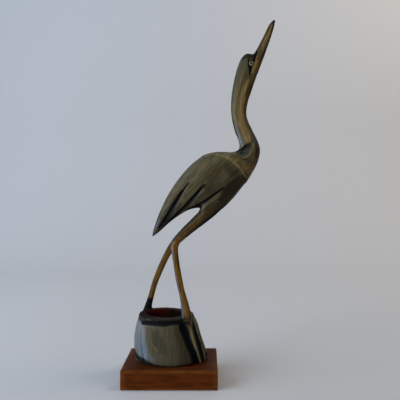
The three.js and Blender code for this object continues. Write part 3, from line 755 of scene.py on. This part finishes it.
def brush(points, layer):
    """The strongest stroke of a layer at each point."""
    flat = points[:, [0, 2]]
    tone = np.zeros(len(flat))
    for stroke in layer:
        within = np.full(len(flat), -np.inf)
        places = np.array(stroke.places, float)
        for start, step in zip(places, np.diff(places, axis=0)):
            share, gap = reach_segment(flat, start[:2], step[:2])
            within = np.maximum(within, start[2] + step[2] * share - np.linalg.norm(gap, axis=1))
        painted = stroke.amount * ease(within / stroke.fade + 1)
        if stroke.side:
            painted = np.where(points[:, 1] * stroke.side > 0, painted, 0)
        tone = np.maximum(tone, painted)
    return tone


def ripple(places, scale):
    """Smooth noise from -1 to 1 at each place, with its own scale along each axis."""
    return np.array([noise.noise(Vector(place)) for place in places / np.array(scale)])


def sunk_below(points, tree):
    """How deep each point lies under an uncut skin, and 0 outside it."""
    depths = []
    for point in points:
        spot, normal, _, distance = tree.find_nearest(Vector(point))
        depths.append(distance if (Vector(point) - spot).dot(normal) < 0 else 0.0)
    return np.array(depths)


def distance_from(points, tree):
    return np.array([tree.find_nearest(Vector(point))[3] for point in points])


def read(items, field, width, kind=float):
    """A field of all of a mesh's items, one row to an item."""
    values = np.zeros(len(items) * width, kind)
    items.foreach_get(field, values)
    return values.reshape(-1, width)


def neighbour_mean(values, ends):
    """The mean of each vertex's neighbours."""
    total = np.zeros_like(values)
    count = np.bincount(ends.ravel(), minlength=len(values))
    for here, there in ((0, 1), (1, 0)):
        np.add.at(total, ends[:, here], values[ends[:, there]])
    return total / count[:, None]


def keep(mesh, name, values):
    """Stores a number, or a vector, at each vertex for the materials."""
    kind, field = ("FLOAT", "value") if values.ndim == 1 else ("FLOAT_VECTOR", "vector")
    mesh.attributes.new(name, kind, "POINT").data.foreach_set(field, values.astype(np.float32).ravel())


def move_to(mesh, places):
    mesh.vertices.foreach_set("co", places.ravel())
    mesh.update()


def in_mm(box):
    return [np.array(corner) / MM for corner in box]


def even_skin(crane):
    """Gives the carved shape an even fine skin and softens its edges."""
    grid = crane.modifiers.new("grid", "REMESH")
    grid.mode = "VOXEL"
    grid.voxel_size = GRID
    settle(crane)
    mesh = crane.data
    mesh.materials.clear()
    ends = read(mesh.edges, "vertices", 2, np.int64)
    places = read(mesh.vertices, "co", 3)
    for _ in range(SOFTENINGS):
        places = places * 0.5 + neighbour_mean(places, ends) * 0.5
    move_to(mesh, places)
    return places


def cut_shade_depth(places, body_tree, rock_tree):
    """Depth in the cuts for the shade painted there, lessened in a few places. The legs have none."""
    height = places[:, 2]
    sunk = np.where(height < RIM_HEIGHT, sunk_below(places, rock_tree), sunk_below(places, body_tree))
    sunk[(height > RIM_HEIGHT) & (height < KNEE_HEIGHT)] = 0
    return sunk * (1 - brush(places, LESS_SHADE))


def knife_work(places, grain):
    """How far the surface stands out: the strokes of the knife, the shoulder's crest and the slip.

    The strokes are about 16 mm long, 3 mm wide and 0.1 mm deep, with finer ones over them.
    """
    marks = ripple(grain, (16.0, 3.2, 5.0)) * 0.10 + ripple(grain, (5.0, 0.9, 2.0)) * 0.03
    crest = brush(places, [Stroke([(x, z, 0.0) for x, z in SHOULDER[1:]], 1.8)])
    slip = brush(places, [Stroke([(x, z, 0.15) for x, z in SCRATCH], 0.7, 1.0, -1)])
    return marks + SHOULDER_CREST * crest - SLIP_DEPTH * slip


def paint(mesh, places, grain):
    """Stores the tones of the horn, painted shade, sheen and glow among them. The edges of the wandering ones
    stray up and down the grain.
    """
    aside_x, aside_z = (ripple(grain + shift, (9.0, 1.3, 4.0)) for shift in (0, 50))
    warped = places + np.column_stack([aside_x, np.zeros(len(grain)), aside_z]) * TONE_WANDER
    for name, layer in WANDERING.items():
        keep(mesh, name, brush(warped, layer))
    for name, layer in CRISP.items():
        keep(mesh, name, brush(places, layer))
    keep(mesh, "rocky", ease((RIM_HEIGHT + 2 - places[:, 2]) / ROCK_BLEND))


def refine(crane, body_tree, rock_tree, hollow_tree):
    """Works the surface of the carved shape, and stores what its material needs."""
    smooth = even_skin(crane)
    mesh = crane.data
    normals = read(mesh.vertex_normals, "vector", 3)
    grain = grain_of(smooth)
    keep(mesh, "grain", grain)
    # How deep each place lies in the cuts, for the painted shade there.
    keep(mesh, "sunk", cut_shade_depth(smooth, body_tree, rock_tree))
    on_rock = smooth[:, 2] < RIM_HEIGHT
    keep(mesh, "inside", on_rock * (1 - ease(distance_from(smooth, hollow_tree) / RAW_EDGE)))
    places = smooth + normals * knife_work(smooth, grain)[:, None]
    places = np.clip(places, *in_mm(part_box("horn_crane")))
    paint(mesh, places, grain)
    move_to(mesh, places * MM)
    mesh.shade_smooth()
    return crane


def ease_edges(bm, edges, radius, segments):
    bmesh.ops.bevel(
        bm, geom=edges, offset=radius, offset_type="OFFSET",
        affect="EDGES", segments=segments, profile=0.5, material=-1,
    )


def inlaid_eye(skin, side):
    """A round inlay with an eased rim and a drilled pupil."""
    x, z = EYE["at"]
    bm = bmesh.new()
    bmesh.ops.create_circle(bm, cap_ends=True, segments=EYE_SIDES, radius=EYE["radius"])
    top = verts_of(bmesh.ops.extrude_face_region(bm, geom=bm.faces[:])["geom"])
    bmesh.ops.translate(bm, verts=top, vec=(0, 0, EYE["sunk"] + EYE["proud"]))
    bmesh.ops.recalc_face_normals(bm, faces=bm.faces)
    rim = [edge for edge in bm.edges if all(vert in top for vert in edge.verts)]
    ease_edges(bm, rim, EYE["bevel"], 4)
    pupil = max(bm.faces, key=lambda item: item.calc_center_median().z)
    white = EYE["radius"] - EYE["bevel"] - PUPIL["radius"]
    bmesh.ops.inset_individual(bm, faces=[pupil], thickness=white, depth=PUPIL["crown"])
    wall = bmesh.ops.inset_individual(bm, faces=[pupil], thickness=PUPIL["draft"], depth=-PUPIL["depth"])
    for face in (pupil, *wall["faces"]):
        face.material_index = 1
    bmesh.ops.rotate(bm, verts=bm.verts, matrix=Matrix.Rotation(-side * math.pi / 2, 3, "X"))
    bmesh.ops.translate(bm, verts=bm.verts, vec=(x, side * (skin(x, z) - EYE["sunk"]), z))
    bmesh.ops.scale(bm, verts=bm.verts, vec=(MM, MM, MM))
    for item in bm.faces:
        item.smooth = item.material_index == 0
    return make_object("inlaid_eye", bm)


def wooden_plinth():
    """A sawn and sanded block with eased edges, its corners a little worn."""
    low, high = in_mm(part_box("plinth"))
    size, middle = high - low, (high + low) / 2
    bm = bmesh.new()
    bmesh.ops.create_cube(bm, size=1.0)
    bmesh.ops.scale(bm, verts=bm.verts, vec=size)
    ease_edges(bm, bm.edges[:], PLINTH_EASED, 3)
    for _ in range(PLINTH_HALVINGS):
        long_edges = [edge for edge in bm.edges if edge.calc_length() > PLINTH_MESH]
        bmesh.ops.subdivide_edges(bm, edges=long_edges, cuts=1, use_grid_fill=True)
    bmesh.ops.translate(bm, verts=bm.verts, vec=middle)
    made = make_object("wood_plinth", bm)
    mesh = made.data
    places, normals = read(mesh.vertices, "co", 3), read(mesh.vertex_normals, "vector", 3)
    from_faces = np.sort(size / 2 - abs(places - middle), axis=1)
    patchy = 0.45 + 0.55 * ripple(places, (7.0, 5.0, 3.0))
    worn = np.maximum(ease(1 - from_faces[:, 1] / PLINTH_WORN) * patchy, 0)
    keep(mesh, "worn", worn)
    # How much each place faces up, for the painted shade on the top.
    keep(mesh, "upper", ease(normals[:, 2]))
    places = places - normals * worn[:, None] * PLINTH_WEAR
    move_to(mesh, np.clip(places, low, high) * MM)
    mesh.shade_smooth()
    return made


def linear(code):
    """A colour as the shaders want it, from its sRGB hex code."""
    parts = [int(code[k:k + 2], 16) / 255 for k in (1, 3, 5)]
    return (*(part / 12.92 if part <= 0.04045 else ((part + 0.055) / 1.055) ** 2.4 for part in parts), 1.0)


def feed(tree, node, inputs):
    """Fills or links a node's inputs. A node stands for its first output, and a hex code for its colour."""
    for name, value in inputs.items():
        if isinstance(value, bpy.types.Node):
            value = value.outputs[0]
        if isinstance(value, bpy.types.NodeSocket):
            tree.links.new(value, node.inputs[name])
        else:
            node.inputs[name].default_value = linear(value) if isinstance(value, str) else value


def add(tree, kind, inputs=None, stops=(), **settings):
    """Adds a node with its settings, its stops where it is a colour ramp, and its inputs."""
    node = tree.nodes.new(kind)
    for name, value in settings.items():
        setattr(node, name, value)
    for number, (place, code) in enumerate(stops):
        elements = node.color_ramp.elements
        stop = elements[number] if number < 2 else elements.new(place)
        stop.position, stop.color = place, linear(code)
    feed(tree, node, inputs or {})
    return node


def new_material(name, **fixed):
    """A material whose shader has its fixed values set on its own sockets."""
    made = bpy.data.materials.new(name)
    made.use_nodes = True
    tree = made.node_tree
    shader = tree.nodes["Principled BSDF"]
    feed(tree, shader, {socket.replace("_", " "): value for socket, value in fixed.items()})
    return made, tree, shader


def lay_patterns(tree, spot, measure, patterns):
    """Noises by their names, each stretched to its own size along each axis, in some measure."""
    laid = {}
    for name, size, texture in patterns:
        scale = [1 / (length * measure) for length in size]
        scaled = add(tree, "ShaderNodeMapping", {"Vector": spot, "Scale": scale})
        laid[name] = add(tree, "ShaderNodeTexNoise", {"Vector": scaled, "Scale": 1.0, **texture})
    return laid


def horn_patterns(tree):
    """The patterns in the horn, each with its size in millimetres along, across and through the grain.

    Bands of growth are 2 to 4 mm across and some 30 mm long. Fibres are really 0.1 mm wide, and are
    drawn 0.7 mm wide so that they show.
    """
    grain = add(tree, "ShaderNodeAttribute", attribute_name="grain").outputs["Vector"]
    return lay_patterns(tree, grain, 1, (
        ("bands", (34, 3.2, 5), {"Detail": 3.0, "Distortion": 0.25}),
        ("fibres", (16, 0.7, 1.6), {"Detail": 4.0, "Roughness": 0.62}),
        ("flecks", (7, 1.1, 2.4), {"Detail": 2.0}),
        ("clouds", (22, 9, 9), {"Detail": 2.0}),
    ))


def horn_tones(tree, mask, laid):
    """The colours of the horn, with painted shade and sheen among them. The rock is greyer and more even than
    the bird.
    """
    tone = add(
        tree, "ShaderNodeValToRGB", {"Fac": laid["bands"]},
        ((0.32, "#544c33"), (0.5, "#645b3e"), (0.7, "#716846")),
    )
    brownish = add(
        tree, "ShaderNodeMapRange",
        {"Value": laid["clouds"], "From Min": 0.45, "From Max": 0.65, "To Max": 0.45},
    )
    even = add(tree, "ShaderNodeMath", {0: mask["rocky"], 1: 0.7}, operation="MULTIPLY")
    amber = add(tree, "ShaderNodeValToRGB", {"Fac": laid["fibres"]}, ((0.3, "#56380a"), (0.7, "#8c621a")))
    # The umber holds painted shade, the straw some painted light, and the blue grey last of all is painted
    # sheen.
    for share, colour in (
        (brownish, "#5f4c30"),
        (even, "#5b5440"),
        (mask["smoky"], "#31352e"),
        (mask["umber"], "#2e1f09"),
        (mask["amber"], amber),
        (mask["pale"], "#a88b58"),
        (mask["rubbed"], "#ad9460"),
        (mask["painted_sheen"], "#8496a8"),
    ):
        tone = add(tree, "ShaderNodeMixRGB", {"Fac": share, "Color1": tone, "Color2": colour})
    return tone


def horn_streaks(tree, mask, laid, tone):
    """Lays flecks and fibres over the tones. They show least on the rock."""
    flecked, streaked = (
        add(
            tree, "ShaderNodeMapRange",
            {"Value": laid[name], "From Min": 0.3, "From Max": 0.7, "To Min": darkest, "To Max": palest},
        )
        for name, darkest, palest in (("flecks", 0.76, 1.24), ("fibres", 0.52, 1.46))
    )
    pattern = add(tree, "ShaderNodeMath", {0: flecked, 1: streaked}, operation="MULTIPLY")
    calm = add(tree, "ShaderNodeMath", {0: mask["rocky"], 1: 0.5}, operation="MULTIPLY")
    pattern = add(tree, "ShaderNodeMixRGB", {"Fac": calm, "Color1": pattern, "Color2": (1, 1, 1, 1)})
    return add(tree, "ShaderNodeVectorMath", {0: tone, 1: pattern}, operation="MULTIPLY")


def horn_cut_shade(tree, mask):
    """Painted shade in cuts: dusky from 0.15 mm down, black from 1.3 mm down and along the black strokes."""
    dusky, deep = (
        add(
            tree, "ShaderNodeMapRange",
            {"Value": mask["sunk"], "From Min": top, "From Max": foot, "To Max": most},
        )
        for top, foot, most in ((0.15, 0.9, 0.9), (1.3, 2.1, 0.97))
    )
    return dusky, add(tree, "ShaderNodeMath", {0: deep, 1: mask["black_and_shade"]}, operation="MAXIMUM")


def horn_material():
    """Buffalo horn, scraped and polished, with shade painted into the cuts.

    The eye sees olive and grey fibres under a soft gloss, amber where the horn is thin or near the
    core, smoke in the folds, painted sheen on edges towards the window, and painted shade, near black,
    in every cut. The inside of the rock is raw red-brown, with a painted glow where its wall is thin.
    """
    made, tree, shader = new_material("polished_buffalo_horn", IOR=1.5, Specular_IOR_Level=0.17)
    mask = {
        name: add(tree, "ShaderNodeAttribute", attribute_name=name).outputs["Fac"]
        for name in (*WANDERING, *CRISP, "sunk", "inside", "rocky")
    }
    laid = horn_patterns(tree)
    tone = horn_streaks(tree, mask, laid, horn_tones(tree, mask, laid))
    # Painted shade in the cuts, dusky and black; then the inside of the rock with its painted glow.
    dusky, black = horn_cut_shade(tree, mask)
    raw = add(tree, "ShaderNodeMixRGB", {"Fac": mask["glow"], "Color1": "#1c0e08", "Color2": "#561a0c"})
    for share, colour in ((dusky, "#33342e"), (black, "#0b0c0f"), (mask["inside"], raw)):
        tone = add(tree, "ShaderNodeMixRGB", {"Fac": share, "Color1": tone, "Color2": colour})

    # The rock and the amber legs have the closest polish, and the painted shade the least.
    rough = add(tree, "ShaderNodeMath", {0: mask["amber"], 1: -0.12, 2: 0.42}, operation="MULTIPLY_ADD")
    for share, change in ((mask["rocky"], -0.14), (black, 0.45), (laid["fibres"], 0.14)):
        rough = add(tree, "ShaderNodeMath", {0: share, 1: change, 2: rough}, operation="MULTIPLY_ADD")
    relief = add(tree, "ShaderNodeBump", {"Height": laid["fibres"], "Strength": 0.35, "Distance": 0.12 * MM})
    feed(tree, shader, {"Base Color": tone, "Roughness": rough, "Normal": relief})
    return made


def clouded_material(name, size, detail, stops, **fixed):
    """A smooth material with faint clouds of a size in millimetres."""
    made, tree, shader = new_material(name, **fixed)
    spot = add(tree, "ShaderNodeTexCoord").outputs["Object"]
    cloud = add(tree, "ShaderNodeTexNoise", {"Vector": spot, "Scale": 1 / (size * MM), "Detail": detail})
    feed(tree, shader, {"Base Color": add(tree, "ShaderNodeValToRGB", {"Fac": cloud}, stops)})
    return made


def inlay_material():
    """Bone, turned to a disc and polished: a warm cream, faintly clouded."""
    return clouded_material(
        "turned_pale_bone", 0.9, 3.0, ((0.3, "#766b49"), (0.7, "#a0936b")), IOR=1.54, Roughness=0.32,
    )


def pupil_material():
    """Black wax pressed into a drilled hole: nearly black, with a soft shine."""
    return clouded_material(
        "pressed_black_wax", 0.4, 2.0, ((0.0, "#050404"), (1.0, "#120e0a")), IOR=1.45, Roughness=0.4,
    )


def wood_material():
    """A reddish hardwood, sawn, sanded and oiled: straight brown grain, open pores, pale worn edges, and
    a top painted darker as shade.

    Growth bands 3 mm apart run the length of the block. The pores are drawn 0.7 mm wide so that they
    show. Sizes are in millimetres along X, Y and Z.
    """
    made, tree, shader = new_material("oiled_reddish_hardwood", IOR=1.48, Specular_IOR_Level=0.05)
    spot = add(tree, "ShaderNodeTexCoord").outputs["Object"]
    laid = lay_patterns(tree, spot, MM, (
        ("bands", (26, 3.2, 3.4), {"Detail": 3.0, "Distortion": 0.6}),
        ("pores", (6, 0.7, 0.7), {"Detail": 3.0, "Roughness": 0.6}),
    ))
    tone = add(tree, "ShaderNodeValToRGB", {"Fac": laid["bands"]}, ((0.3, "#50260a"), (0.72, "#733810")))
    dark = add(
        tree, "ShaderNodeMapRange",
        {"Value": laid["pores"], "From Min": 0.3, "From Max": 0.62, "To Min": 0.78, "To Max": 1.08},
    )
    tone = add(tree, "ShaderNodeVectorMath", {0: tone, 1: dark}, operation="MULTIPLY")
    worn, upper = (
        add(tree, "ShaderNodeAttribute", attribute_name=name).outputs["Fac"] for name in ("worn", "upper")
    )
    # Painted shade: the top is painted darker.
    shaded_top = add(tree, "ShaderNodeMath", {0: upper, 1: 0.5}, operation="MULTIPLY")
    for share, colour in ((worn, "#9a5a2a"), (shaded_top, "#2e1607")):
        tone = add(tree, "ShaderNodeMixRGB", {"Fac": share, "Color1": tone, "Color2": colour})
    rough = add(tree, "ShaderNodeMapRange", {"Value": laid["pores"], "To Min": 0.62, "To Max": 0.42})
    relief = add(tree, "ShaderNodeBump", {"Height": laid["pores"], "Strength": 0.4, "Distance": 0.15 * MM})
    feed(tree, shader, {"Base Color": tone, "Roughness": rough, "Normal": relief})
    return made


def backdrop_material():
    """Matt painted board: a pale cool grey."""
    made, _, _ = new_material("matt_painted_board", Base_Color="#d3d4d4", Roughness=0.9)
    return made


def build_stage(low):
    """A floor that curves up into a wall well behind the object."""
    half, back, height, radius, near = 1.6, 0.75, 1.6, 0.35, 0.01
    bm = bmesh.new()
    bmesh.ops.create_grid(bm, x_segments=1, y_segments=1, size=half)
    bmesh.ops.translate(bm, verts=bm.verts, vec=(0, back - half, low))
    far = [edge for edge in bm.edges if all(vert.co.y > back - near for vert in edge.verts)]
    wall = bmesh.ops.extrude_edge_only(bm, edges=far)["geom"]
    bmesh.ops.translate(bm, verts=verts_of(wall), vec=(0, 0, height))
    fold = [
        edge for edge in bm.edges
        if all(abs(vert.co.y - back) < near and vert.co.z < low + near for vert in edge.verts)
    ]
    ease_edges(bm, fold, radius, 16)
    bmesh.ops.recalc_face_normals(bm, faces=bm.faces)
    made = make_object("backdrop", bm)
    made.data.shade_smooth()
    made.data.materials.append(backdrop_material())


def area_light(name, place, target, size, power, colour):
    data = bpy.data.lights.new(name, "AREA")
    data.shape = "RECTANGLE"
    data.size, data.size_y = size
    data.energy = power
    data.color = linear(colour)[:3]
    lamp = new_object(name, data)
    lamp.location = place
    lamp.rotation_euler = (Vector(target) - Vector(place)).to_track_quat("-Z", "Y").to_euler()


def light_scene(middle):
    """A cool window on the left, and a wash on the backdrop that is warmer on the right."""
    area_light("window", (-0.85, -0.35, 0.42), middle, (0.8, 0.8), 9.6, "#dfeafc")
    area_light("wash", (-0.35, 0.15, 1.15), (-0.1, 0.75, 0.25), (1.4, 0.3), 2.6, "#c4dcff")
    area_light("room", (0.75, 0.05, 0.95), (0.50, 0.75, 0.20), (0.7, 0.4), 4.6, "#fff0dc")
    world = bpy.data.worlds.new("studio")
    bpy.context.scene.world = world
    world.use_nodes = True
    sky = world.node_tree.nodes["Background"]
    sky.inputs["Color"].default_value = linear("#d8d6d2")
    sky.inputs["Strength"].default_value = 0.14


def place_camera():
    """The camera stands level with the belly, square to the bird's right side."""
    data = bpy.data.cameras.new("camera")
    data.sensor_width, data.lens = CAMERA_SENSOR, CAMERA_LENS
    data.shift_x, data.shift_y = CAMERA_SHIFT
    camera = new_object("camera", data)
    camera.location = Vector(CAMERA_AT) * MM
    camera.rotation_euler = (math.pi / 2, 0, 0)
    bpy.context.scene.camera = camera
    bpy.context.scene.view_settings.view_transform = "Standard"


def dress(piece, name, finishes, node):
    """Names a piece, gives it its materials, and lets it stand for a solid."""
    piece.name = name
    piece.data.name = name
    for finish in finishes:
        piece.data.materials.append(finish)
    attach(piece, "root")
    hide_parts(node)


place_camera()
body, rock = uncut_body(), uncut_rock()
body_tree, rock_tree = mesh_tree(body), mesh_tree(rock)
skin = skin_of(body_tree)
hollow = rock_hollow()
hollow_tree = mesh_tree(hollow)
bpy.data.objects.remove(hollow)
crane = refine(carve(body, rock, skin), body_tree, rock_tree, hollow_tree)
dress(crane, "carved_horn", [horn_material()], "horn_crane")
inlay, pupil = inlay_material(), pupil_material()
dress(inlaid_eye(skin, -1), "inlaid_eye_right", [inlay, pupil], "eye_right")
dress(inlaid_eye(skin, 1), "inlaid_eye_left", [inlay, pupil], "eye_left")
dress(wooden_plinth(), "wood_plinth", [wood_material()], "plinth")
build_stage(cad_low.z)
light_scene((cad_low + cad_high) / 2)
